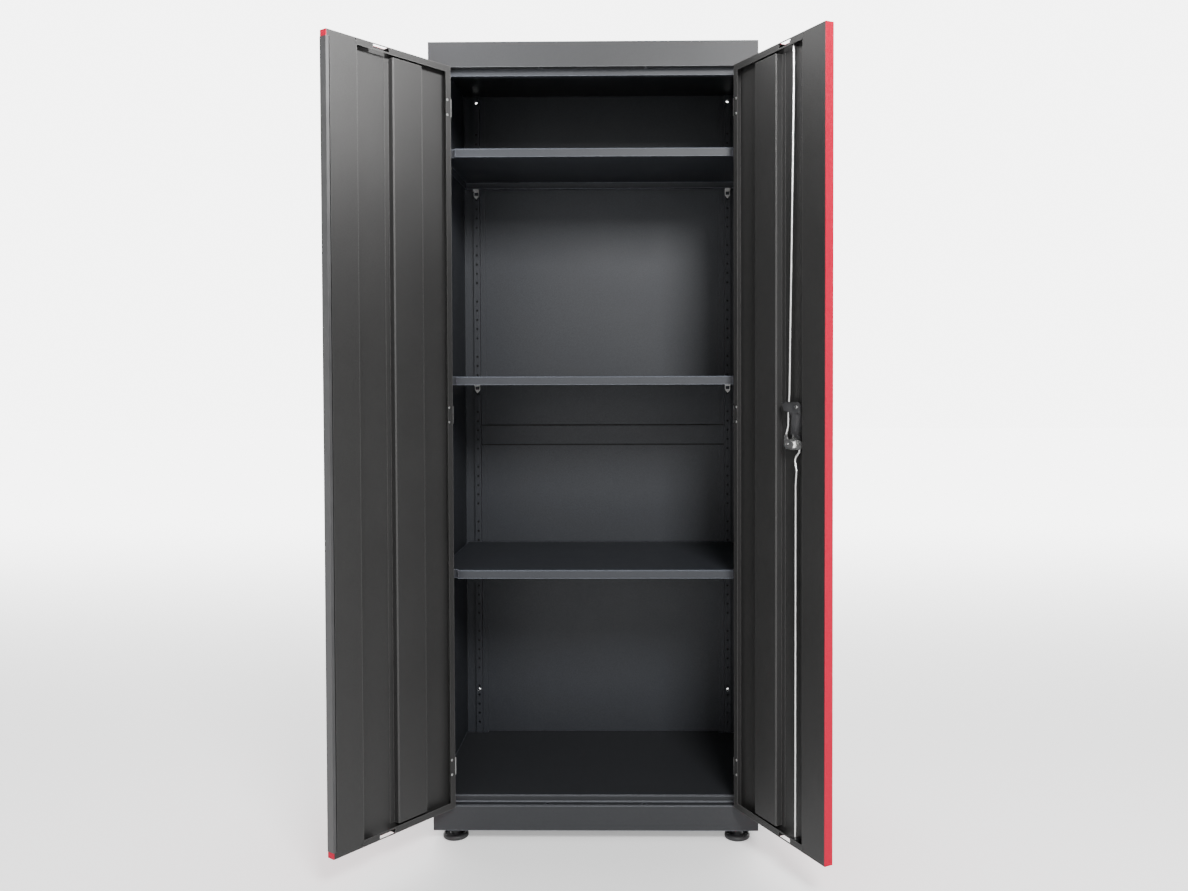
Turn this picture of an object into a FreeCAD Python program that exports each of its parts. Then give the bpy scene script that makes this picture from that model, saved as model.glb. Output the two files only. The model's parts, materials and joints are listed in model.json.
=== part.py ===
import FreeCAD, Part
import Sketcher
import math
import os

# Tall two-door steel storage cabinet on levelling feet.
# Frame: origin on the floor under the middle of the carcass, +X to the right as
# seen from the front, +Y to the back, +Z up.  Inside this file lengths along Y
# are counted from the front face of the carcass and lengths along Z from the
# datum "lift" above the floor.  Both are shifted at the end.

doc = FreeCAD.newDocument("Cabinet")
V = FreeCAD.Vector
ROT = FreeCAD.Rotation
PL = FreeCAD.Placement

sheet = doc.addObject("Spreadsheet::Sheet", "Dim")

DIMS = [
    # carcass
    ("half_width", 381.0), ("depth", 484.0), ("gauge", 1.2),
    ("foot_gap", 22.0), ("sill_top", 82.0), ("head_low", 1801.0), ("height", 1859.0),
    ("jamb", 346.5), ("return_back", 40.0), ("return_out", 369.0), ("lift", 5.0), ("bend", 2.2),
    ("stop_face", 22.0), ("stop_low", 1786.0), ("stop_high", 1816.0),
    ("floor_top", 98.0), ("flange_in", 330.0),
    # rear posts and shelf holes
    ("post_face", 469.0), ("post_in", 336.7), ("post_out", 353.6), ("post_foot", 322.0),
    ("hole_radius", 3.25), ("hole_pitch", 25.4), ("hole_first", 1498.0),
    ("wall_hole_x", 345.15), ("wall_hole_low", 217.5), ("wall_hole_high", 1840.0), ("wall_hole_radius", 4.0),
    ("front_hole_x", 357.0),
    # back
    ("back_joint", 926.0), ("band_half", 25.0), ("band_x", 321.9),
    # shelves
    ("shelf_drop", 20.0), ("shelf_x", 372.0), ("shelf_nose", 325.0),
    ("shelf_front", 30.0), ("shelf_step", 42.0), ("shelf_back", 466.0),
    ("clip_half", 6.9), ("clip_reach", 15.0), ("clip_gauge", 1.5), ("clip_lip", 6.0), ("clip_drop", 26.0), ("clip_point", 8.5),
    # doors
    ("door_edge", 341.8), ("door_low", 84.5), ("door_high", 1797.0), ("door_depth", 20.0),
    ("skin", 1.0), ("tray", 0.8), ("left_free", 1.8), ("right_free", 1.3),
    ("lip", 14.5), ("box_u", 262.5), ("hat_u", 83.5), ("hat_end", 166.0), ("hat_foot", 178.0),
    ("slot_u", 178.0), ("slot_length", 42.0), ("slot_near", 1.8), ("slot_far", 11.5), ("trim_short", 14.0), ("trim_wrap", 6.0),
    ("left_open", 126.9), ("right_open", 118.0),
    # hinges
    ("pin_x", 343.5), ("pin_out", 4.5), ("pin_radius", 2.0), ("barrel_radius", 4.0), ("barrel_bore", 2.05),
    ("leaf", 2.6), ("hinge_half", 20.0), ("hinge_top", 1702.0), ("hinge_mid", 999.0), ("hinge_low", 182.0),
    # latch
    ("latch_x", 118.0), ("latch_z", 941.0), ("spindle_radius", 4.0), ("crank", 20.0),
    ("rod_high_x", 121.8), ("rod_low_x", 113.8), ("rod_y", 11.0), ("rod_radius", 2.5), ("rod_top", 1795.0), ("rod_low", 87.0),
    ("strike_radius", 5.0),
    # feet
    ("foot_x", 334.0), ("foot_front", 32.0), ("foot_rear", 440.0), ("foot_radius", 30.0), ("stud_radius", 5.0),
]


class Q:
    """A number together with the sheet expression that gives it."""

    def __init__(self, value, text):
        self.v = float(value)
        self.s = text

    def __add__(self, o):
        o = q(o)
        return Q(self.v + o.v, "(%s + %s)" % (self.s, o.s))

    def __radd__(self, o):
        return q(o) + self

    def __sub__(self, o):
        o = q(o)
        return Q(self.v - o.v, "(%s - %s)" % (self.s, o.s))

    def __rsub__(self, o):
        return q(o) - self

    def __mul__(self, o):
        o = q(o)
        return Q(self.v * o.v, "(%s * %s)" % (self.s, o.s))

    def __rmul__(self, o):
        return q(o) * self

    def __neg__(self):
        return Q(-self.v, "(0 - %s)" % self.s)


def q(o):
    if isinstance(o, Q):
        return o
    return Q(o, "%.6f" % o if o >= 0 else "(0 - %.6f)" % (-o))


D = {}
for row, (alias, value) in enumerate(DIMS, start=1):
    sheet.set("A%d" % row, alias)
    sheet.set("B%d" % row, repr(value))
    sheet.setAlias("B%d" % row, alias)
    D[alias] = Q(value, "Dim." + alias)
doc.recompute()

G = D["gauge"]
HW = D["half_width"]
INW = HW - G

# ---------------------------------------------------------------- placements
ROOT = PL(V(0, -D["depth"].v / 2, D["lift"].v), ROT())


def door_place(side):
    """Carcass placement followed by the door's swing about its hinge pins."""
    pin = V(side * D["pin_x"].v, -D["pin_out"].v, 0)
    ang = D["left_open"].v if side < 0 else D["right_open"].v
    swing = PL(V(0, 0, 0), ROT(V(0, 0, 1), side * ang), pin)
    return ROOT.multiply(swing)


LEFT = door_place(-1)
RIGHT = door_place(1)
# The cam rests level, half way through its throw.  The lever hangs straight down
# when locked, a further 30 degrees round.
LATCH = RIGHT
LEVER = RIGHT.multiply(PL(V(0, 0, 0), ROT(V(0, -1, 0), -30.0), V(D["latch_x"].v, 0, D["latch_z"].v)))

counter = [0]


def uid(tag):
    counter[0] += 1
    return "%s_%03d" % (tag, counter[0])


# ---------------------------------------------------------------- builders
def bind(obj, prop, val):
    val = q(val)
    obj.setExpression(prop, val.s)


def origin_plane(body, role):
    for f in body.Origin.OriginFeatures:
        if f.Role == role:
            return f
    raise RuntimeError("no plane " + role)


def prism(plane, pts, start, length, place=ROOT):
    """Sketch a closed profile on an origin plane and pad it.

    XY pads up from start, YZ pads to the right from start, XZ pads to the back from start."""
    start, length = q(start), q(length)
    body = doc.addObject("PartDesign::Body", uid("Body"))
    sk = body.newObject("Sketcher::SketchObject", uid("Profile"))
    sk.AttachmentSupport = [(origin_plane(body, plane + "_Plane"), "")]
    sk.MapMode = "FlatFace"
    n = len(pts)
    pts = [(q(a), q(b)) for a, b in pts]
    for i in range(n):
        a, b = pts[i], pts[(i + 1) % n]
        sk.addGeometry(Part.LineSegment(V(a[0].v, a[1].v, 0), V(b[0].v, b[1].v, 0)), False)
    for i in range(n):
        sk.addConstraint(Sketcher.Constraint("Coincident", i, 2, (i + 1) % n, 1))
    for i in range(n):
        for axis, val in (("X", pts[i][0]), ("Y", pts[i][1])):
            if abs(val.v) < 1e-9:
                sk.addConstraint(Sketcher.Constraint("PointOnObject", i, 1, -2 if axis == "X" else -1))
            else:
                k = sk.addConstraint(Sketcher.Constraint("Distance" + axis, -1, 1, i, 1, val.v))
                if "Dim." in val.s:
                    sk.setExpression("Constraints[%d]" % k, val.s)
    off = -(start + length) if plane == "XZ" else start
    bind(sk, "AttachmentOffset.Base.z", off)
    pad = body.newObject("PartDesign::Pad", uid("Pad"))
    pad.Profile = sk
    bind(pad, "Length", length)
    body.Placement = place
    return body


def box(x0, x1, y0, y1, z0, z1, place=ROOT):
    x0, x1, y0, y1, z0, z1 = [q(a) for a in (x0, x1, y0, y1, z0, z1)]
    b = doc.addObject("Part::Box", uid("Box"))
    bind(b, "Length", x1 - x0)
    bind(b, "Width", y1 - y0)
    bind(b, "Height", z1 - z0)
    b.Placement = place.multiply(PL(V(x0.v, y0.v, z0.v), ROT()))
    return b


def mbox(side, xa, xb, y0, y1, z0, z1, place=ROOT):
    """Box between two distances from the middle plane, on the given side."""
    if side > 0:
        return box(xa, xb, y0, y1, z0, z1, place)
    return box(-q(xb), -q(xa), y0, y1, z0, z1, place)


def cyl(r, p, direction, length, place=ROOT):
    r, length = q(r), q(length)
    c = doc.addObject("Part::Cylinder", uid("Cyl"))
    bind(c, "Radius", r)
    bind(c, "Height", length)
    c.Placement = place.multiply(PL(V(*p), ROT(V(0, 0, 1), V(*direction))))
    return c


def ball(r, p, place=ROOT):
    s = doc.addObject("Part::Sphere", uid("Ball"))
    bind(s, "Radius", r)
    s.Placement = place.multiply(PL(V(*p), ROT()))
    return s


def fuse(parts):
    if len(parts) == 1:
        return parts[0]
    f = doc.addObject("Part::MultiFuse", uid("Fuse"))
    f.Shapes = parts
    f.Refine = True
    return f


def group(parts):
    g = doc.addObject("Part::Compound", uid("Group"))
    g.Links = parts
    return g


def cut(base, tools):
    c = doc.addObject("Part::Cut", uid("Cut"))
    c.Base = base
    c.Tool = tools[0] if len(tools) == 1 else group(tools)
    return c


NODES = {}


def node(name, obj):
    obj.Label = name
    NODES[name] = obj


def both(side, pts):
    return [(q(a) * side if side < 0 else q(a), b) for a, b in pts]


# ---------------------------------------------------------------- shelf holes
# Rows of five holes, every sixth place left blank.
P = D["hole_pitch"].v
ROWS = []
for grp in range(11):
    top = D["hole_first"].v - 2 * P + (2 - grp) * 6 * P
    ROWS += [top - k * P for k in range(5)]


def row_of_holes(x, y, length, place=ROOT):
    return [cyl(D["hole_radius"], (x, y, z), (0, 1, 0), length, place) for z in ROWS]


# ---------------------------------------------------------------- carcass
for side, name in ((-1, "left"), (1, "right")):
    skin = prism("XY", both(side, [
        (HW, G), (HW, D["depth"]), (D["flange_in"], D["depth"]), (D["flange_in"], D["depth"] - G),
        (INW, D["depth"] - G), (INW, G)]), D["foot_gap"], D["height"] - G - D["foot_gap"])
    stile = prism("XY", both(side, [
        (HW, 0.0), (D["jamb"], 0.0), (D["jamb"], D["return_back"]), (D["return_out"], D["return_back"]),
        (D["return_out"], D["return_back"] - G), (D["jamb"] + G, D["return_back"] - G), (D["jamb"] + G, G), (HW, G)]),
        D["sill_top"], D["head_low"] - D["sill_top"])
    tools = row_of_holes(side * D["front_hole_x"].v, D["return_back"].v - 3, 5.0)
    for z in ("wall_hole_low", "wall_hole_high"):
        tools.append(cyl(D["wall_hole_radius"], (side * D["wall_hole_x"].v, D["depth"].v - 2.2, D[z].v), (0, 1, 0), 4.0))
    node("side_" + name, cut(fuse([skin, stile]), tools))

    post = prism("XY", both(side, [
        (INW, D["depth"] - 2 * G), (INW, D["depth"] - 3 * G), (D["post_out"], D["depth"] - 3 * G),
        (D["post_out"], D["post_face"]), (D["post_in"], D["post_face"]), (D["post_in"], D["depth"] - 3 * G),
        (D["post_foot"], D["depth"] - 3 * G), (D["post_foot"], D["depth"] - 2 * G),
        (D["post_in"] + G, D["depth"] - 2 * G), (D["post_in"] + G, D["post_face"] + G),
        (D["post_out"] - G, D["post_face"] + G), (D["post_out"] - G, D["depth"] - 2 * G)]),
        D["sill_top"], D["height"] - G - D["sill_top"])
    tools = row_of_holes(side * D["wall_hole_x"].v, D["post_face"].v - 2, 5.0)
    for z in ("wall_hole_low", "wall_hole_high"):
        tools.append(cyl(D["wall_hole_radius"], (side * D["wall_hole_x"].v, D["post_face"].v - 2, D[z].v), (0, 1, 0), 5.0))
    node("rear_post_" + name, cut(post, tools))

# Top cap: fascia, lid and the short soffit that the upper lock rod strikes.
cap = fuse([
    box(-HW, HW, 0.0, G, D["head_low"], D["height"]),
    box(-HW, HW, 0.0, D["depth"], D["height"] - G, D["height"]),
    box(-INW, INW, 0.0, D["stop_face"], D["head_low"], D["head_low"] + G)])
node("top_cap", cut(cap, [cyl(D["strike_radius"], (s * D["rod_high_x"].v, D["rod_y"].v, D["head_low"].v - 3), (0, 0, 1), 8.0) for s in (-1, 1)]))

rail = prism("YZ", [
    (D["stop_face"], D["stop_low"]), (D["stop_face"] + 14.0, D["stop_low"]), (D["stop_face"] + 14.0, D["stop_low"] + G),
    (D["stop_face"] + G, D["stop_low"] + G), (D["stop_face"] + G, D["stop_high"]), (D["stop_face"], D["stop_high"])],
    -(D["jamb"] - 0.1), 2 * (D["jamb"] - 0.1))
node("stop_rail", rail)

# Bent sheets show an eased corner, drawn as a flat across the bend.
B, ST, SF, FG, FT = D["bend"], D["sill_top"], D["stop_face"], D["foot_gap"], D["floor_top"]
plinth = fuse([
    prism("YZ", [(0.0, FG), (0.0, ST - B), (B, ST), (SF + G, ST), (SF + G, ST - G), (B + 0.5, ST - G), (G, ST - B - 0.5),
                 (G, FG + G), (74.0, FG + G), (74.0, FG)], -INW, 2 * INW),
    box(-HW, -INW + 5.0, 0.0, G, FG, ST - B), box(INW - 5.0, HW, 0.0, G, FG, ST - B)])
tools = [cyl(D["strike_radius"], (s * D["rod_low_x"].v, D["rod_y"].v, D["sill_top"].v - 5), (0, 0, 1), 8.0) for s in (-1, 1)]
tools += [cyl(D["stud_radius"] + 0.05, (s * D["foot_x"].v, D["foot_front"].v, 18.0), (0, 0, 1), 8.0) for s in (-1, 1)]
node("base_plinth", cut(plinth, tools))

rear_sill = prism("YZ", [
    (410.0, D["foot_gap"]), (D["depth"] - 2 * G, D["foot_gap"]), (D["depth"] - 2 * G, D["foot_gap"] + G),
    (410.0 + G, D["foot_gap"] + G), (410.0 + G, D["sill_top"]), (410.0, D["sill_top"])], -INW, 2 * INW)
node("base_rear_rail", cut(rear_sill, [cyl(D["stud_radius"] + 0.05, (s * D["foot_x"].v, D["foot_rear"].v, 18.0), (0, 0, 1), 8.0) for s in (-1, 1)]))

floor = prism("YZ", [
    (SF - B, ST), (SF + G, ST), (SF + G, FT - B - 0.5), (SF + B + 0.5, FT - G), (D["depth"] - 2 * G, FT - G), (D["depth"] - 2 * G, FT),
    (SF + B, FT), (SF, FT - B), (SF, ST + B)], -INW, 2 * INW)
corner = [mbox(s, D["jamb"] - 0.1, HW + 5.0, 0.0, D["return_back"] + 0.1, 70.0, 120.0) for s in (-1, 1)]
# the rear posts pass the floor in two notches
corner += [mbox(s, D["post_foot"] - 0.2, HW + 5.0, D["post_face"] - 0.2, D["depth"] + 5.0, 70.0, 120.0) for s in (-1, 1)]
node("floor_pan", cut(floor, corner))

for name, z0, z1, hole in (("back_lower", D["foot_gap"], D["back_joint"], "wall_hole_low"),
                           ("back_upper", D["back_joint"], D["height"] - G, "wall_hole_high")):
    panel = box(-INW, INW, D["depth"] - 2 * G, D["depth"] - G, z0, z1)
    node(name, cut(panel, [cyl(D["wall_hole_radius"], (s * D["wall_hole_x"].v, D["depth"].v - 5, D[hole].v), (0, 1, 0), 8.0) for s in (-1, 1)]))

Z = D["back_joint"]
BH = D["band_half"]
YB = D["depth"] - 2 * G
node("back_band", prism("YZ", [
    (YB, Z - BH - 9.0), (YB, Z - BH + G), (YB - 3.0 + G, Z - BH + G), (YB - 3.0 + G, Z + BH - G), (YB, Z + BH - G), (YB, Z + BH + 9.0),
    (YB - G, Z + BH + 9.0), (YB - G, Z + BH), (YB - 3.0, Z + BH), (YB - 3.0, Z - BH), (YB - G, Z - BH), (YB - G, Z - BH - 9.0)],
    -D["band_x"], 2 * D["band_x"]))

# ---------------------------------------------------------------- shelves and clips
SHELF_HOLES = (("shelf_upper", ROWS[5]), ("shelf_middle", ROWS[23]), ("shelf_lower", ROWS[38]))
clips = []
for name, hz in SHELF_HOLES:
    low = hz + 1.2
    SX, SN, SF, SS, SB = D["shelf_x"], D["shelf_nose"], D["shelf_front"], D["shelf_step"], D["shelf_back"]
    outer = prism("XY", [(-SN, SF), (SN, SF), (SN, SS), (SX, SS), (SX, SB), (-SX, SB), (-SX, SS), (-SN, SS)], low, D["shelf_drop"])
    inner = prism("XY", [(-SN + G, SF + G), (SN - G, SF + G), (SN - G, SS + G), (SX - G, SS + G), (SX - G, SB - G),
                         (-SX + G, SB - G), (-SX + G, SS + G), (-SN + G, SS + G)], low - 5.0, D["shelf_drop"] - G + 5.0)
    lips = [box(-SN + G, SN - G, SF + G, SF + 12.0, low, low + G), box(-SX + G, SX - G, SB - 12.0, SB - G, low, low + G)]
    top = low + D["shelf_drop"]
    ease = prism("YZ", [(SF - 2.0, top - 3.8), (SF + 3.8, top + 2.0), (SF - 2.0, top + 2.0)], -SN - 5.0, 2 * SN + 10.0)
    node(name, fuse([cut(outer, [inner, ease])] + lips))
    T = D["clip_gauge"]
    R = D["clip_reach"]
    for side in (-1, 1):
        for face, sgn, cx in ((D["post_face"], -1, D["wall_hole_x"].v), (D["return_back"], 1, D["front_hole_x"].v)):
            yf = face.v
            r, t = R.v, T.v
            cl, cd, ch, cp = D["clip_lip"].v, D["clip_drop"].v, D["clip_half"], D["clip_point"].v
            prof = [(yf, low), (yf + sgn * r, low), (yf + sgn * r, low - cl), (yf + sgn * (r - t), low - cl), (yf + sgn * (r - t), low - t),
                    (yf, low - t)]
            body = prism("YZ", prof, side * cx - ch.v, 2 * ch)
            y0 = yf - t if sgn < 0 else yf
            xc = side * cx
            plate = prism("XZ", [(xc - ch, low), (xc - ch, low - cd + cp), (xc, low - cd), (xc + ch, low - cd + cp), (xc + ch, low)], y0, t)
            # a window between the bar and the pointed end
            back = cut(plate, [box(xc - ch + 1.5, xc + ch - 1.5, y0 - 0.5, y0 + t + 0.5, low - 16.0, low - 7.0)])
            tip = prism("YZ", [(yf, low - cd + 9.0), (yf + sgn * 5.0, low - cd + 6.0), (yf + sgn * 5.0, low - cd + 4.5), (yf, low - cd + 4.5)],
                        xc - 2.5, 5.0)
            ya, yb = (yf - 0.01, yf + 4.0) if sgn < 0 else (yf - 4.0, yf + 0.01)
            tab = box(xc - 2.0, xc + 2.0, ya, yb, hz - 0.6, hz + 0.6)
            clips.append(fuse([body, back, tip, tab]))
node("shelf_clips", group(clips))

# ---------------------------------------------------------------- feet
feet = (("foot_front_left", -1, "foot_front"), ("foot_front_right", 1, "foot_front"),
        ("foot_rear_left", -1, "foot_rear"), ("foot_rear_right", 1, "foot_rear"))
nuts = []
for name, side, yk in feet:
    at = ROOT.multiply(PL(V(side * D["foot_x"].v, D[yk].v, -D["lift"].v), ROT()))
    FR, SR = D["foot_radius"], D["stud_radius"]
    body = doc.addObject("PartDesign::Body", uid("Body"))
    sk = body.newObject("Sketcher::SketchObject", uid("Profile"))
    sk.AttachmentSupport = [(origin_plane(body, "XZ_Plane"), "")]
    sk.MapMode = "FlatFace"
    prof = [(q(0.0), q(0.0)), (FR - 2.5, q(0.0)), (FR - 0.6, q(1.4)), (FR, q(3.6)), (FR, q(7.0)), (FR - 0.8, q(9.2)), (FR - 2.6, q(10.6)),
            (FR - 5.5, q(11.0)), (FR - 8.0, q(9.6)), (q(14.0), q(9.6)), (q(11.5), q(12.0)), (q(10.5), q(19.0)), (q(9.5), q(20.0)),
            (SR, q(20.0)), (SR, q(58.0)), (q(0.0), q(58.0))]
    n = len(prof)
    for i in range(n):
        a, b = prof[i], prof[(i + 1) % n]
        sk.addGeometry(Part.LineSegment(V(a[0].v, a[1].v, 0), V(b[0].v, b[1].v, 0)), False)
    for i in range(n):
        sk.addConstraint(Sketcher.Constraint("Coincident", i, 2, (i + 1) % n, 1))
    for i in range(n):
        for axis, val in (("X", prof[i][0]), ("Y", prof[i][1])):
            if abs(val.v) < 1e-9:
                sk.addConstraint(Sketcher.Constraint("PointOnObject", i, 1, -2 if axis == "X" else -1))
            else:
                k = sk.addConstraint(Sketcher.Constraint("Distance" + axis, -1, 1, i, 1, val.v))
                if "Dim." in val.s:
                    sk.setExpression("Constraints[%d]" % k, val.s)
    rev = body.newObject("PartDesign::Revolution", uid("Turn"))
    rev.Profile = sk
    rev.ReferenceAxis = (sk, ["V_Axis"])
    rev.Angle = 360.0
    body.Placement = at
    node(name, body)
    hexa = [(9.8 * math.cos(math.radians(60 * k)), 9.8 * math.sin(math.radians(60 * k))) for k in range(6)]
    nut = prism("XY", hexa, D["foot_gap"] + D["lift"] + G, 8.0, at)
    nuts.append(cut(nut, [cyl(SR + 0.05, (0, 0, 10.0), (0, 0, 1), 50.0, at)]))
node("foot_nuts", group(nuts))

# ---------------------------------------------------------------- hinges
HINGES = ("hinge_top", "hinge_mid", "hinge_low")
PX, PO, HH = D["pin_x"], D["pin_out"], D["hinge_half"]
for side, name, place in ((-1, "left", LEFT), (1, "right", RIGHT)):
    fixed, swing, screws = [], [], []
    for hk in HINGES:
        c = D[hk]
        at = (side * PX.v, -PO.v)
        # fixed leaf on the jamb, middle knuckle and the pin
        fixed.append(fuse([
            mbox(side, D["jamb"] - 1.2, D["jamb"], 0.3, 18.0, c - HH, c + HH),
            mbox(side, PX + 0.3, D["jamb"], -PO, 0.3, c - 6.6, c + 6.6),
            cyl(D["barrel_radius"], (at[0], at[1], c.v - 6.6), (0, 0, 1), 13.2),
            cyl(D["pin_radius"], (at[0], at[1], c.v - HH.v), (0, 0, 1), 2 * HH)]))
        # swinging leaf on the door edge with the outer knuckles
        parts = [mbox(side, D["door_edge"], D["door_edge"] + D["leaf"], 0.6, D["door_depth"], c - HH, c + HH, place)]
        for z0, z1 in ((c - HH, c - 7.0), (c + 7.0, c + HH)):
            parts.append(mbox(side, D["door_edge"], PX - 0.3, -PO, 1.2, z0, z1, place))
            parts.append(cyl(D["barrel_radius"], (at[0], at[1], z0.v), (0, 0, 1), z1 - z0, place))
        bore = cyl(D["barrel_bore"], (at[0], at[1], c.v - HH.v - 5), (0, 0, 1), 2 * HH + 10.0, place)
        swing.append(cut(fuse(parts), [bore]))
        for dz in (-17.0, 17.0):
            p = (side * (D["door_edge"].v - 10.5), D["door_depth"].v, c.v + dz)
            screws.append(fuse([cyl(2.8, p, (0, 1, 0), 0.7, place), cyl(2.0, (p[0], p[1] + 0.7, p[2]), (0, 1, 0), 0.5, place)]))
    node("hinge_fixed_" + name, group(fixed))
    node("hinge_leaf_" + name, group(swing))
    node("hinge_screws_" + name, group(screws))

# ---------------------------------------------------------------- doors
for side, name, place in ((-1, "left", LEFT), (1, "right", RIGHT)):
    E, F = D["door_edge"], D["left_free"] if side < 0 else D["right_free"]
    ZL, ZH, DD, K, TR = D["door_low"], D["door_high"], D["door_depth"], D["skin"], D["tray"]

    def u(d):
        return E - d
    s0, s1 = u(D["slot_u"] + D["slot_length"]), u(D["slot_u"])

    def slots(more, deep):
        """The long slots by the top and bottom edges, opened a little wider by more."""
        out = []
        for z0, z1 in ((ZH - D["slot_far"], ZH - D["slot_near"]), (ZL + D["slot_near"], ZL + D["slot_far"])):
            if not deep:
                out.append(mbox(side, s0, s1, DD - 3.0, DD + 5.0, z0, z1, place))
        for z0 in (ZH - 5.0, ZL - 5.0):
            out.append(mbox(side, s0 - more, s1 + more, 4.0 - more, 17.5 + more, z0, z0 + 10.0, place))
        if side > 0:
            out.append(cyl(3.4 + more, (D["rod_high_x"].v, D["rod_y"].v, ZH.v - 5.0), (0, 0, 1), 10.0, place))
            out.append(cyl(3.4 + more, (D["rod_low_x"].v, D["rod_y"].v, ZL.v - 5.0), (0, 0, 1), 10.0, place))
        return out
    # red outer pan, its free edge folded the full depth
    pan = box(-E, -F, 0.0, DD, ZL, ZH, place) if side < 0 else box(F, E, 0.0, DD, ZL, ZH, place)
    tools = [mbox(side, F + K, E - K, K, DD + 5.0, ZL + K, ZH - K, place),
             mbox(side, F + K, E + 5.0, DD - K, DD + 5.0, ZL - 5.0, ZH + 5.0, place)] + slots(1.0, True)
    if side > 0:
        tools.append(cyl(6.0, (D["latch_x"].v, -5.0, D["latch_z"].v), (0, 1, 0), 15.0, place))
    node("door_skin_" + name, cut(pan, tools))
    # black inner tray with its lips
    tray = fuse([mbox(side, F + K, E - K, K, DD - K, ZL + K, ZH - K, place),
                 mbox(side, F + K, E, DD - K, DD, ZL, ZH, place)])
    hollow = [mbox(side, F + K + TR, u(D["box_u"]) - TR, K + TR, DD - K, ZL + K + TR, ZH - K - TR, place),
              mbox(side, u(D["box_u"]), E - K - TR, K + TR, DD - K, ZL + K + TR, ZH - K - TR, place),
              mbox(side, u(D["box_u"]), u(D["lip"]), DD - 3.0, DD + 5.0, ZL + D["lip"], ZH - D["lip"], place)] + slots(0.0, False)
    # bend reliefs where the narrow lips meet the wide one
    for z in (ZH - 3.6, ZL + 3.6):
        hollow.append(cyl(2.0, (side * u(D["box_u"] + 2.5).v, DD.v - 3.0, z.v), (0, 1, 0), 8.0, place))
    if side < 0:
        hollow.append(mbox(side, F + D["trim_wrap"] + 0.1, F + D["trim_wrap"] + 2.7, DD - 3.0, DD + 5.0, ZL + D["trim_short"], ZH - D["trim_short"], place))
    if side > 0:
        hollow.append(cyl(6.0, (D["latch_x"].v, -5.0, D["latch_z"].v), (0, 1, 0), 15.0, place))
    node("door_tray_" + name, cut(tray, hollow))
    # hat stiffener standing on the tray's floor
    b = K + TR
    H = D["bend"]
    hat = prism("XY", both(side, [
        (u(D["hat_u"] - 14.0), b), (u(D["hat_u"] - 14.0), b + 0.9), (u(D["hat_u"]), b + 0.9), (u(D["hat_u"]), DD - 1.4 - H), (u(D["hat_u"] + H), DD - 1.4),
        (u(D["hat_end"] - H), DD - 1.4), (u(D["hat_end"]), DD - 1.4 - H), (u(D["hat_end"]), b + 0.9), (u(D["hat_foot"]), b + 0.9), (u(D["hat_foot"]), b),
        (u(D["hat_end"] - 0.9), b), (u(D["hat_end"] - 0.9), DD - 1.8 - H), (u(D["hat_end"] - 0.4 - H), DD - 2.3),
        (u(D["hat_u"] + 0.4 + H), DD - 2.3), (u(D["hat_u"] + 0.9), DD - 1.8 - H), (u(D["hat_u"] + 0.9), b)]),
        ZL + D["lip"] + 4.0, ZH - ZL - 2 * D["lip"] - 8.0, place)
    node("door_stiffener_" + name, hat)

F = D["left_free"]
TW = D["trim_wrap"]
node("edge_trim", prism("XY", [(-F, 0.4), (-F + 1.3, 0.4), (-F + 1.3, D["door_depth"] + 0.4), (-F + 0.9, D["door_depth"] + 0.8),
                               (-F - TW, D["door_depth"] + 0.8), (-F - TW, D["door_depth"]), (-F, D["door_depth"])],
                        D["door_low"] + D["trim_short"], D["door_high"] - D["door_low"] - 2 * D["trim_short"], LEFT))

# ---------------------------------------------------------------- lock
LX, LZ = D["latch_x"], D["latch_z"]
lx, lz = LX.v, LZ.v
b = 1.8
# Moulded lock body: a bridge over the upper rod, a tapered neck and the hub round the spindle.
moulding = fuse([
    prism("XZ", [(94.0, 1008.0), (126.0, 1008.0), (149.0, 1013.0), (156.0, 1031.0), (98.0, 1031.0), (94.0, 1027.0)], 14.6, 3.6, RIGHT),
    prism("XZ", [(93.0, 1004.0), (128.0, 1004.0), (128.0, 1029.0), (98.0, 1029.0), (94.0, 1026.0)], b, 14.0, RIGHT),
    prism("XZ", [(146.5, 1016.0), (150.2, 1016.0), (155.6, 1030.0), (146.5, 1030.0)], b, 14.0, RIGHT),
    prism("XZ", [(92.4, 1006.5), (107.3, 962.0), (128.6, 962.0), (124.5, 1010.0)], b, 12.4, RIGHT),
    prism("XZ", [(99.0, 1006.5), (111.0, 968.0), (123.0, 968.0), (119.5, 1010.0)], b, 15.2, RIGHT),
    cyl(17.0, (lx, b, lz + 6.0), (0, 1, 0), 6.2, RIGHT),
    box(LX - 9.0, LX + 9.0, b, 8.0, LZ + 6.0, LZ + 24.0, RIGHT),
    cyl(9.6, (lx, b, lz), (0, 1, 0), 11.4, RIGHT)])
node("lock_body", cut(moulding, [cyl(D["spindle_radius"] + 0.05, (lx, b - 1.0, lz), (0, 1, 0), 16.0, RIGHT)]))
node("lock_screw", fuse([cyl(4.0, (103.0, 18.2, 1021.0), (0, 1, 0), 0.8, RIGHT), cyl(3.0, (103.0, 19.0, 1021.0), (0, 1, 0), 0.8, RIGHT)]))
guides = []
for gx, gz in ((D["rod_high_x"], D["door_high"] - 14.0), (D["rod_low_x"], D["door_low"] + 4.0)):
    bush = box(gx - 6.0, gx + 6.0, b, 18.4, gz, gz + 10.0, RIGHT)
    guides.append(cut(bush, [cyl(2.75, (gx.v, D["rod_y"].v, gz.v - 3.0), (0, 0, 1), 16.0, RIGHT)]))
node("rod_guides", group(guides))

plate = fuse([box(LX - 17.0, LX + 17.0, -4.0, 0.0, LZ - 45.0, LZ + 45.0, RIGHT),
              cyl(17.0, (lx, -4.0, lz + 45.0), (0, 1, 0), 4.0, RIGHT), cyl(17.0, (lx, -4.0, lz - 45.0), (0, 1, 0), 4.0, RIGHT)])
node("escutcheon", cut(plate, [cyl(D["spindle_radius"] + 0.05, (lx, -8.0, lz), (0, 1, 0), 12.0, RIGHT)]))

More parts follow.
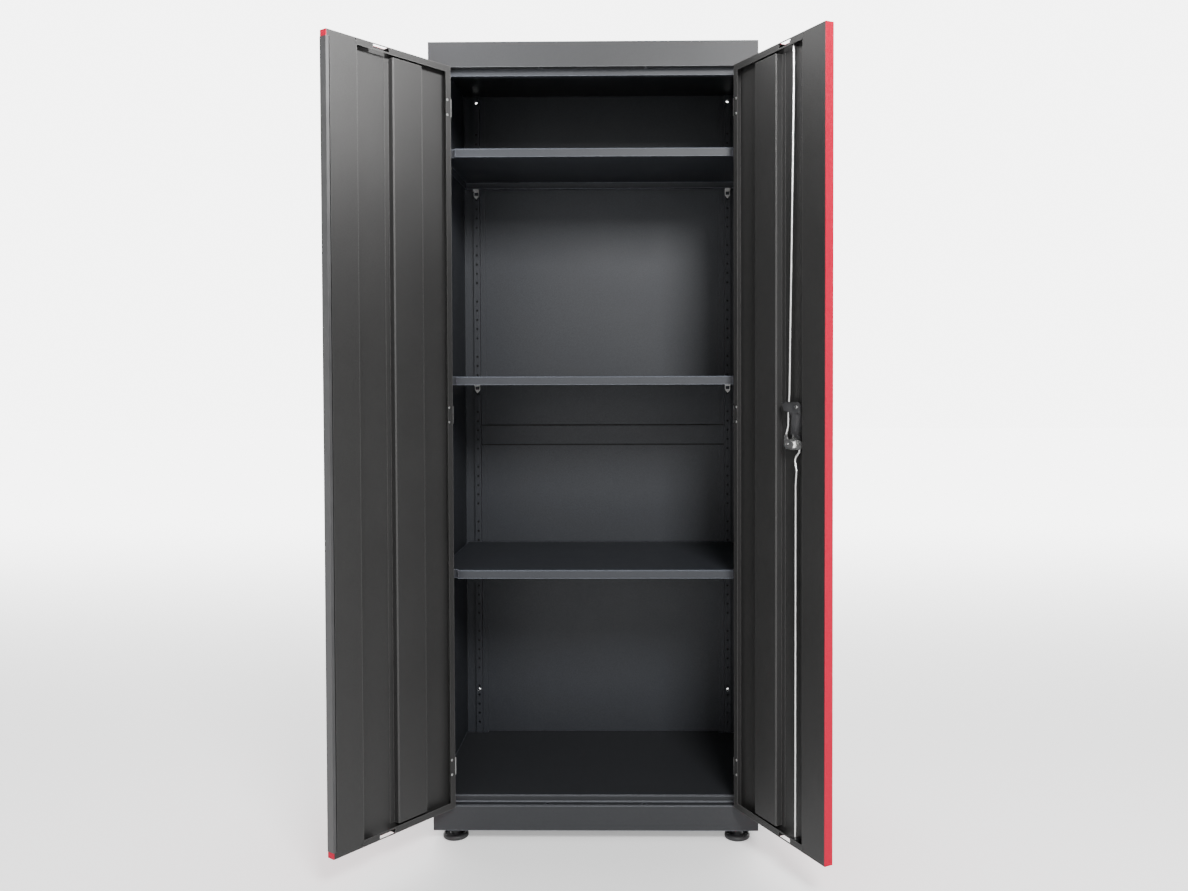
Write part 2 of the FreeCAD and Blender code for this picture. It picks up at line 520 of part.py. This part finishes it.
lever = fuse([cyl(15.0, (lx, -24.0, lz), (0, 1, 0), 19.5, LEVER),
              box(LX - 10.0, LX + 10.0, -24.0, -12.0, LZ - 92.0, LZ, LEVER),
              cyl(10.0, (lx, -24.0, lz - 92.0), (0, 1, 0), 12.0, LEVER)])
node("handle", cut(lever, [cyl(8.0, (lx, -30.0, lz), (0, 1, 0), 16.0, LEVER)]))
plug = cyl(7.95, (lx, -24.6, lz), (0, 1, 0), 10.4, LEVER)
node("key_plug", cut(plug, [box(LX - 0.9, LX + 0.9, -30.0, -20.0, LZ - 4.5, LZ + 4.5, LEVER)]))

node("spindle", cyl(D["spindle_radius"], (lx, -4.5, lz), (0, 1, 0), 18.5, LATCH))
C = D["crank"]
arm = prism("XZ", [(LX - 30.0, LZ - 5.0), (LX - 25.0, LZ - 9.5), (LX - 6.0, LZ - 11.0), (LX + 8.0, LZ - 11.0), (LX + 24.0, LZ - 10.0), (LX + 31.0, LZ - 5.0),
                   (LX + 32.0, LZ + 6.0), (LX + 30.0, LZ + 19.0), (LX + 24.0, LZ + 20.0), (LX + 20.0, LZ + 10.0), (LX + 8.0, LZ + 11.0), (LX - 10.0, LZ + 11.0),
                   (LX - 25.0, LZ + 9.5), (LX - 30.0, LZ + 5.0)], 14.0, 2.0, LATCH)
tools = []
for s in (-1, 1):
    a, e = C.v, C.v + 3.7
    tools.append(fuse([box(LX + s * a if s > 0 else LX - e, LX + e if s > 0 else LX - a, 12.0, 18.0, LZ - 3.3, LZ + 3.3, LATCH),
                       cyl(3.3, (lx + s * a, 12.0, lz), (0, 1, 0), 6.0, LATCH), cyl(3.3, (lx + s * e, 12.0, lz), (0, 1, 0), 6.0, LATCH)]))
node("cam", cut(arm, tools))
hexa = [(LX + 7.5 * math.cos(math.radians(60 * k)), LZ + 7.5 * math.sin(math.radians(60 * k))) for k in range(6)]
node("cam_nut", prism("XZ", hexa, 16.0, 3.4, LATCH))

# Lock rods: wire bent past the lock, with a short hook into the cam's slot.
HX, BX, RY, RR = D["rod_high_x"].v, D["rod_low_x"].v, D["rod_y"].v, D["rod_radius"]
for name, path in (("rod_upper", [(lx + C.v, lz), (148.6, 960.0), (140.6, 980.0), (140.2, 1004.0), (136.5, 1046.0), (HX, 1700.0), (HX, D["rod_top"].v)]),
                   ("rod_lower", [(lx - C.v, lz), (101.0, 926.0), (113.0, 915.0), (116.4, 905.0), (110.6, 884.0), (BX, 856.0), (BX, D["rod_low"].v)])):
    bits = [cyl(RR, (path[0][0], RY, path[0][1]), (0, 1, 0), 6.2, RIGHT)]
    for i in range(len(path) - 1):
        (x0, z0), (x1, z1) = path[i], path[i + 1]
        ln = math.hypot(x1 - x0, z1 - z0)
        bits.append(cyl(RR, (x0, RY, z0), ((x1 - x0) / ln, 0, (z1 - z0) / ln), ln, RIGHT))
    for x0, z0 in path[:-1]:
        bits.append(ball(RR, (x0, RY, z0), RIGHT))
    node(name, fuse(bits))

# ---------------------------------------------------------------- check and write
doc.recompute()
bad = [o.Name + " " + str(o.State) for o in doc.Objects if "Invalid" in o.State or "Error" in o.State]
if bad:
    raise RuntimeError("failed objects: " + "; ".join(bad))
for name, obj in NODES.items():
    s = obj.Shape
    if s.isNull() or not s.isValid():
        raise RuntimeError("bad shape " + name)
    if not s.Solids:
        raise RuntimeError("no solid in " + name)
os.makedirs("parts", exist_ok=True)
for name, obj in NODES.items():
    obj.Shape.exportStep("parts/%s.step" % name)
    bb = obj.Shape.BoundBox
    print("%-22s solids %2d vol %10.0f  x %.1f %.1f  y %.1f %.1f  z %.1f %.1f" % (
        name, len(obj.Shape.Solids), obj.Shape.Volume, bb.XMin, bb.XMax, bb.YMin, bb.YMax, bb.ZMin, bb.ZMax))
print(len(NODES), "nodes")
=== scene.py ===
import json
import math

import bpy
import bmesh
from mathutils import Matrix, Vector


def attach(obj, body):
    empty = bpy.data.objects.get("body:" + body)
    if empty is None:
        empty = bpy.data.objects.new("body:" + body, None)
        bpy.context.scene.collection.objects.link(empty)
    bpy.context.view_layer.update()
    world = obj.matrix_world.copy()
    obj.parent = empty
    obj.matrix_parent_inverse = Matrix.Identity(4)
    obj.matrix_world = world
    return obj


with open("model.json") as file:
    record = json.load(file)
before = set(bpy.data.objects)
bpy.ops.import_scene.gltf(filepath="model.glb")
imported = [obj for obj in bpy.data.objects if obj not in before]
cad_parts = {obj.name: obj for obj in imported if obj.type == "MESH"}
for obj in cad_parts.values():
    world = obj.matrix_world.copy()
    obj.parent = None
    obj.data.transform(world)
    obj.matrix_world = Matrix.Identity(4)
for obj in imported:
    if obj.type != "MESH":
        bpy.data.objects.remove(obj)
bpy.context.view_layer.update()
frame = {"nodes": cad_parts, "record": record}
NODES = frame["nodes"]
scene = bpy.context.scene


# ------------------------------------------------------------------ materials
def new_material(name):
    m = bpy.data.materials.new(name)
    m.use_nodes = True
    nt = m.node_tree
    b = nt.nodes["Principled BSDF"]
    return m, nt, b


def add(nt, kind, **inputs):
    n = nt.nodes.new(kind)
    for k, v in inputs.items():
        n.inputs[k.replace("_", " ")].default_value = v
    return n


def ramp(nt, src, stops):
    r = nt.nodes.new("ShaderNodeValToRGB")
    els = r.color_ramp.elements
    els[0].position, els[0].color = stops[0][0], stops[0][1]
    els[1].position, els[1].color = stops[-1][0], stops[-1][1]
    for p, c in stops[1:-1]:
        e = els.new(p)
        e.color = c
    nt.links.new(src, r.inputs["Fac"])
    return r


def g(v):
    return (v, v, v, 1.0)


def coords(nt):
    return nt.nodes.new("ShaderNodeTexCoord").outputs["Object"]


def powder(name, low, high, rough=(0.48, 0.53), grain=1100.0, bump=0.16, spec=0.32, edge=3.4):
    """Baked powder coat: fine orange-peel grain, faint cloudiness, and a painted highlight that lightens the
    colour along edges and bends.
    """
    m, nt, b = new_material(name)
    co = coords(nt)
    fine = add(nt, "ShaderNodeTexNoise", Scale=grain, Detail=3.0, Roughness=0.62)
    cloud = add(nt, "ShaderNodeTexNoise", Scale=6.0, Detail=4.0, Roughness=0.55)
    peel = add(nt, "ShaderNodeTexNoise", Scale=grain * 0.33, Detail=2.0, Roughness=0.5)
    for n in (fine, cloud, peel):
        nt.links.new(co, n.inputs["Vector"])
    mix = nt.nodes.new("ShaderNodeMix")
    mix.data_type = "FLOAT"
    mix.inputs["Factor"].default_value = 0.07
    nt.links.new(fine.outputs["Fac"], mix.inputs[2])
    nt.links.new(cloud.outputs["Fac"], mix.inputs[3])
    col = ramp(nt, mix.outputs[0], [(0.36, low), (0.66, high)])
    # painted highlight: along the bends the colour is lightened by the factor edge, so the folds read as fine
    # light lines
    painted_edge_highlight = ramp(nt, mix.outputs[0], [(0.36, tuple(edge * c for c in low[:3]) + (1.0,)), (0.66, tuple(edge * c for c in high[:3]) + (1.0,))])
    soft = nt.nodes.new("ShaderNodeBevel")
    soft.samples = 4
    soft.inputs["Radius"].default_value = 0.0020
    geo = nt.nodes.new("ShaderNodeNewGeometry")
    dot = nt.nodes.new("ShaderNodeVectorMath")
    dot.operation = "DOT_PRODUCT"
    nt.links.new(soft.outputs["Normal"], dot.inputs[0])
    nt.links.new(geo.outputs["Normal"], dot.inputs[1])
    # mask of the painted highlight: where the bevelled normal turns away from the face normal, at edges and bends
    edge_highlight_mask = ramp(nt, dot.outputs["Value"], [(0.91, g(1.0)), (0.985, g(0.0))])
    coat = nt.nodes.new("ShaderNodeMix")
    coat.data_type = "RGBA"
    nt.links.new(edge_highlight_mask.outputs["Color"], coat.inputs[0])
    nt.links.new(col.outputs["Color"], coat.inputs[6])
    nt.links.new(painted_edge_highlight.outputs["Color"], coat.inputs[7])
    nt.links.new(coat.outputs[2], b.inputs["Base Color"])
    rr = ramp(nt, cloud.outputs["Fac"], [(0.3, g(rough[0])), (0.7, g(rough[1]))])
    nt.links.new(rr.outputs["Color"], b.inputs["Roughness"])
    bp = add(nt, "ShaderNodeBump", Strength=bump, Distance=0.0006)
    bp2 = add(nt, "ShaderNodeBump", Strength=bump * 0.7, Distance=0.0010)
    nt.links.new(fine.outputs["Fac"], bp.inputs["Height"])
    nt.links.new(peel.outputs["Fac"], bp2.inputs["Height"])
    nt.links.new(bp.outputs["Normal"], bp2.inputs["Normal"])
    nt.links.new(bp2.outputs["Normal"], b.inputs["Normal"])
    b.inputs["Specular IOR Level"].default_value = spec
    return m


def zinc(name, low, high, rough=(0.22, 0.42), stretch=(220.0, 220.0, 12.0)):
    """Bright zinc plate with drawn streaks and a little spangle."""
    m, nt, b = new_material(name)
    co = coords(nt)
    mp = nt.nodes.new("ShaderNodeMapping")
    mp.inputs["Scale"].default_value = stretch
    nt.links.new(co, mp.inputs["Vector"])
    streak = add(nt, "ShaderNodeTexNoise", Scale=4.0, Detail=5.0, Roughness=0.65)
    nt.links.new(mp.outputs["Vector"], streak.inputs["Vector"])
    spangle = add(nt, "ShaderNodeTexVoronoi", Scale=420.0)
    nt.links.new(co, spangle.inputs["Vector"])
    mix = nt.nodes.new("ShaderNodeMix")
    mix.data_type = "FLOAT"
    mix.inputs["Factor"].default_value = 0.3
    nt.links.new(streak.outputs["Fac"], mix.inputs[2])
    nt.links.new(spangle.outputs["Distance"], mix.inputs[3])
    col = ramp(nt, mix.outputs[0], [(0.25, low), (0.7, high)])
    nt.links.new(col.outputs["Color"], b.inputs["Base Color"])
    rr = ramp(nt, streak.outputs["Fac"], [(0.3, g(rough[0])), (0.7, g(rough[1]))])
    nt.links.new(rr.outputs["Color"], b.inputs["Roughness"])
    bp = add(nt, "ShaderNodeBump", Strength=0.08, Distance=0.0003)
    nt.links.new(streak.outputs["Fac"], bp.inputs["Height"])
    nt.links.new(bp.outputs["Normal"], b.inputs["Normal"])
    b.inputs["Metallic"].default_value = 1.0
    return m


def plastic(name, low, high, rough=(0.45, 0.62), grain=1500.0, bump=0.10):
    """Moulded nylon or ABS with a spark-eroded grain."""
    m, nt, b = new_material(name)
    co = coords(nt)
    vor = add(nt, "ShaderNodeTexVoronoi", Scale=grain)
    cloud = add(nt, "ShaderNodeTexNoise", Scale=22.0, Detail=4.0, Roughness=0.6)
    for n in (vor, cloud):
        nt.links.new(co, n.inputs["Vector"])
    col = ramp(nt, cloud.outputs["Fac"], [(0.3, low), (0.7, high)])
    nt.links.new(col.outputs["Color"], b.inputs["Base Color"])
    rr = ramp(nt, cloud.outputs["Fac"], [(0.3, g(rough[0])), (0.7, g(rough[1]))])
    nt.links.new(rr.outputs["Color"], b.inputs["Roughness"])
    bp = add(nt, "ShaderNodeBump", Strength=bump, Distance=0.0004)
    nt.links.new(vor.outputs["Distance"], bp.inputs["Height"])
    nt.links.new(bp.outputs["Normal"], b.inputs["Normal"])
    return m


# edge sets how strongly each coat is lightened along its bends, a painted highlight
MATS = {
    "body_coat": powder("body_coat", (0.0115, 0.0130, 0.0165, 1), (0.0290, 0.0315, 0.0375, 1), edge=6.5),
    "cap_coat": powder("cap_coat", (0.0122, 0.0127, 0.0140, 1), (0.0300, 0.0308, 0.0328, 1), edge=6.5),
    # base_coat: the body coat darker, painted shade for the pieces at the bottom
    "base_coat": powder("base_coat", (0.0105, 0.0113, 0.0132, 1), (0.0255, 0.0268, 0.0300, 1), edge=8.0),
    "wall_coat": powder("wall_coat", (0.0115, 0.0130, 0.0165, 1), (0.0290, 0.0315, 0.0375, 1), edge=1.25),
    "inner_coat": powder("inner_coat", (0.0112, 0.0110, 0.0109, 1), (0.0258, 0.0254, 0.0250, 1)),
    "door_red": powder("door_red", (0.33, 0.0002, 0.0200, 1), (0.45, 0.0006, 0.0300, 1), rough=(0.34, 0.48), grain=700.0, bump=0.10, spec=0.06, edge=1.15),
    "zinc": zinc("zinc", (0.50, 0.50, 0.50, 1), (0.78, 0.78, 0.77, 1)),
    "rod_zinc": zinc("rod_zinc", (0.56, 0.56, 0.55, 1), (0.80, 0.80, 0.79, 1), rough=(0.25, 0.45)),
    "trim_black": plastic("trim_black", (0.026, 0.026, 0.027, 1), (0.040, 0.040, 0.041, 1), rough=(0.5, 0.62)),
    "handle_black": plastic("handle_black", (0.012, 0.012, 0.013, 1), (0.024, 0.024, 0.026, 1), rough=(0.34, 0.5)),
    "plug_chrome": zinc("plug_chrome", (0.70, 0.70, 0.70, 1), (0.86, 0.86, 0.86, 1), rough=(0.08, 0.2), stretch=(60.0, 60.0, 60.0)),
    "lock_grey": plastic("lock_grey", (0.022, 0.022, 0.023, 1), (0.048, 0.048, 0.050, 1), rough=(0.24, 0.38)),
    # gap_dark: near-black, painted shade in gaps, behind holes and in screw recesses; also the dark lip seams
    "gap_dark": plastic("gap_dark", (0.0010, 0.0010, 0.0011, 1), (0.0022, 0.0022, 0.0024, 1), rough=(0.8, 0.9)),
    "cam_bright": zinc("cam_bright", (0.80, 0.80, 0.79, 1), (0.95, 0.95, 0.94, 1), rough=(0.26, 0.42), stretch=(90.0, 90.0, 90.0)),
    "foot_rubber": plastic("foot_rubber", (0.008, 0.008, 0.009, 1), (0.018, 0.018, 0.019, 1), rough=(0.5, 0.7), grain=900.0),
}
SLOT = {s["node"]: s["material_slot"] for s in frame["record"]["subparts"]}
# copies of the same slots, piece by piece: the plinth and floor pan get the body coat darker, a painted shade,
# with a stronger painted highlight on their bends; the posts, back and sides keep that painted highlight faint so
# their holes stay dark; the lock body and cam get their own plastic and zinc
LOOK = {"lock_body": "lock_grey", "cam": "cam_bright", "cam_nut": "cam_bright", "top_cap": "cap_coat", "base_plinth": "base_coat", "floor_pan": "base_coat"}
LOOK.update({n: "wall_coat" for n in ("rear_post_left", "rear_post_right", "back_upper", "back_lower", "back_band", "side_left", "side_right")})
for name, ob in NODES.items():
    ob.data.materials.clear()
    ob.data.materials.append(MATS[LOOK.get(name, SLOT[name])])
    for p in ob.data.polygons:
        p.use_smooth = False
    width = 0.0004
    if name in ("handle", "escutcheon"):
        width = 0.0022
    elif name == "lock_body":
        width = 0.0014
    elif name.startswith("foot_") and name != "foot_nuts":
        width = 0.0010
    bev = ob.modifiers.new("edge", "BEVEL")
    bev.width = width
    bev.segments = 2 if width < 0.001 else 4
    bev.limit_method = "ANGLE"
    bev.angle_limit = math.radians(35)
    bev.harden_normals = False


# ------------------------------------------------------------------ small added pieces
LIFT, DEPTH = 0.005, 0.484
PIN_X, PIN_OUT, DOOR_EDGE = 0.3435, 0.0045, 0.3418
BODY = Matrix.Translation((0, -DEPTH / 2, LIFT))


def swing(side):
    """From the closed door, counted like the carcass, to the door as it stands open."""
    ang = math.radians(126.9 if side < 0 else 118.0) * side
    pin = Matrix.Translation((side * PIN_X, -PIN_OUT, 0))
    return BODY @ pin @ Matrix.Rotation(ang, 4, "Z") @ pin.inverted()


def slab(bm, at, size, matrix, turn=0.0, axis="Y"):
    """A thin block centred on a point in millimetres, turned in its own plane."""
    m = matrix @ Matrix.Translation(Vector(at) / 1000.0) @ Matrix.Rotation(turn, 4, axis) @ Matrix.Diagonal((size[0] / 1000.0, size[1] / 1000.0, size[2] / 1000.0, 1.0))
    bmesh.ops.create_cube(bm, size=1.0, matrix=m)


def piece(name, bm, body, slot, look=None):
    me = bpy.data.meshes.new(name)
    bm.to_mesh(me)
    bm.free()
    ob = bpy.data.objects.new(name, me)
    scene.collection.objects.link(ob)
    me.materials.append(MATS[look or slot])
    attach(ob, body)
    return ob


# shadow gaps over and under the band on the back
bm = bmesh.new()
for dz in (-27.0, 27.0):
    slab(bm, (0, 480.25, 926.0 + dz), (673.0, 0.3, 3.6), BODY)
piece("band_gaps", bm, "carcass", "trim_black", "gap_dark")

# painted shade: near-black sheets inside the perforated posts and under the two strike holes, so the holes read as
# shaded
bm = bmesh.new()
for side in (-1, 1):
    slab(bm, (side * 345.15, 475.4, 1010.0), (14.5, 0.4, 1550.0), BODY)
    slab(bm, (side * 113.8, 39.6, 66.0), (44.0, 76.8, 0.6), BODY)
piece("shade_behind_holes", bm, "carcass", "trim_black", "gap_dark")

# painted shade: near-black crosses laid on the screw heads stand in for their shaded cross recesses; also the
# mitre seams at the corners of the wide lips
for side, body in ((-1, "left_door"), (1, "right_door")):
    place = swing(side)
    bm = bmesh.new()
    for hz in (1702.0, 999.0, 182.0):
        for dz in (-17.0, 17.0):
            for turn in (0.6, 0.6 + math.pi / 2):
                slab(bm, (side * 331.3, 21.22, hz + dz), (2.4, 0.08, 0.6), place, turn)
    if side > 0:
        for turn in (0.3, 0.3 + math.pi / 2):
            slab(bm, (103.0, 19.82, 1021.0), (3.8, 0.1, 0.9), place, turn)
    piece("screw_recess_shade_" + body, bm, body, "trim_black", "gap_dark")
    bm = bmesh.new()
    for z, s in ((1797.0 - 14.5, 1.0), (84.5 + 14.5, -1.0)):
        slab(bm, (side * (341.8 - 262.5 - 4.2), 20.03, z + s * 4.2), (12.0, 0.06, 0.7), place, side * s * math.radians(45))
    piece("lip_seams_" + body, bm, body, "trim_black", "gap_dark")

# thread on the visible part of each levelling stud
for body, x, y in (("foot_fl", -0.334, -0.210), ("foot_fr", 0.334, -0.210), ("foot_rl", -0.334, 0.198), ("foot_rr", 0.334, 0.198)):
    bm = bmesh.new()
    steps, pitch, r0, r1 = 20, 0.0015, 0.00495, 0.0056
    rows = []
    for k in range(steps * 24 + 1):
        a = 2 * math.pi * k / steps
        z = 0.0375 + pitch * k / steps
        if z > 0.0572:
            break
        rows.append([bm.verts.new((x + r * math.cos(a), y + r * math.sin(a), z + d)) for r, d in ((r0, -0.0006), (r1, 0.0), (r0, 0.0006))])
    for p, q in zip(rows, rows[1:]):
        bm.faces.new((p[0], q[0], q[1], p[1]))
        bm.faces.new((p[1], q[1], q[2], p[2]))
        bm.faces.new((p[2], q[2], q[0], p[0]))
    bm.faces.new(rows[0])
    bm.faces.new(rows[-1][::-1])
    bmesh.ops.recalc_face_normals(bm, faces=bm.faces)
    piece("thread_" + body, bm, body, "foot_rubber")


# ------------------------------------------------------------------ stage
def link(ob):
    scene.collection.objects.link(ob)
    return ob


# pale floor that brightens into the background far behind the object
me = bpy.data.meshes.new("studio_floor")
ys = [-20.0, -4.0, 0.0, 2.0, 4.0, 8.0, 20.0]
me.from_pydata([(x, y, -0.0005) for y in ys for x in (-20.0, 20.0)], [], [(2 * k, 2 * k + 1, 2 * k + 3, 2 * k + 2) for k in range(len(ys) - 1)])
floor = link(bpy.data.objects.new("studio_floor", me))
fm, nt, b = new_material("studio_floor")
b.inputs["Base Color"].default_value = (0.88, 0.88, 0.88, 1)
b.inputs["Roughness"].default_value = 0.7
b.inputs["Emission Color"].default_value = (1, 1, 1, 1)


def rise(tree, src, lo, hi, dim, bright):
    """A smooth rise from dim to bright along one coordinate."""
    sep = tree.nodes.new("ShaderNodeSeparateXYZ")
    tree.links.new(src, sep.inputs["Vector"])
    rng = tree.nodes.new("ShaderNodeMapRange")
    rng.interpolation_type = "SMOOTHSTEP"
    for key, val in (("From Min", lo), ("From Max", hi), ("To Min", dim), ("To Max", bright)):
        rng.inputs[key].default_value = val
    tree.links.new(sep.outputs["Y"], rng.inputs["Value"])
    return rng.outputs["Result"]


nt.links.new(rise(nt, coords(nt), 0.3, 5.5, 0.36, 4.3), b.inputs["Emission Strength"])
me.materials.append(fm)

# soft white room, brightest behind the object
world = bpy.data.worlds.new("studio")
scene.world = world
world.use_nodes = True
wt = world.node_tree
bg = wt.nodes["Background"]
bg.inputs["Color"].default_value = (1, 1, 1, 1)
wt.links.new(rise(wt, wt.nodes.new("ShaderNodeTexCoord").outputs["Generated"], 0.25, 0.80, 0.80, 6.0), bg.inputs["Strength"])


def area(name, loc, target, size, power, size_y=None):
    li = bpy.data.lights.new(name, "AREA")
    li.energy = power
    li.size = size
    if size_y:
        li.shape = "RECTANGLE"
        li.size_y = size_y
    ob = link(bpy.data.objects.new(name, li))
    ob.location = loc
    ob.rotation_euler = (Vector(target) - Vector(loc)).to_track_quat("-Z", "Y").to_euler()
    return ob


def spot(name, loc, target, power, angle):
    li = bpy.data.lights.new(name, "SPOT")
    li.energy = power
    li.spot_size = math.radians(angle)
    li.spot_blend = 1.0
    li.shadow_soft_size = 0.25
    ob = link(bpy.data.objects.new(name, li))
    ob.location = loc
    ob.rotation_euler = (Vector(target) - Vector(loc)).to_track_quat("-Z", "Y").to_euler()


area("key", (0.85, -3.1, 2.5), (0.0, 0.1, 0.95), 0.8, 157.0)
area("fill", (-0.5, -4.2, 1.6), (0.0, 0.0, 1.45), 2.2, 26.0, 1.4)
spot("top_left", (1.55, -2.4, 2.6), (-0.73, -0.48, 2.05), 3300.0, 29)
spot("top_right", (-1.3, -2.4, 2.5), (0.68, -0.48, 2.03), 1150.0, 23)


# ------------------------------------------------------------------ camera
F_PX, PPX, PPY = 1065.43, 634.02, 403.90
W_PX, H_PX = 1188.0, 891.0
yaw, pitch, roll = math.radians(-0.678), math.radians(1.409), math.radians(0.162)
fwd = Vector((math.sin(yaw) * math.cos(pitch), math.cos(yaw) * math.cos(pitch), -math.sin(pitch)))
right = Vector((math.cos(yaw), -math.sin(yaw), 0.0))
down = fwd.cross(right)
r2 = right * math.cos(roll) + down * math.sin(roll)
d2 = down * math.cos(roll) - right * math.sin(roll)
cam_data = bpy.data.cameras.new("photo_camera")
cam_data.sensor_fit = "HORIZONTAL"
cam_data.sensor_width = 36.0
cam_data.lens = F_PX * 36.0 / W_PX
cam_data.shift_x = (W_PX / 2 - PPX) / W_PX
cam_data.shift_y = (PPY - H_PX / 2) / W_PX
cam_data.clip_start = 0.05
cam_data.clip_end = 100.0
cam = link(bpy.data.objects.new("photo_camera", cam_data))
rot = Matrix((r2, -d2, -fwd)).transposed()
cam.matrix_world = Matrix.Translation((0.12199, -2.47153 - 0.242, 1.08859)) @ rot.to_4x4()
scene.camera = cam
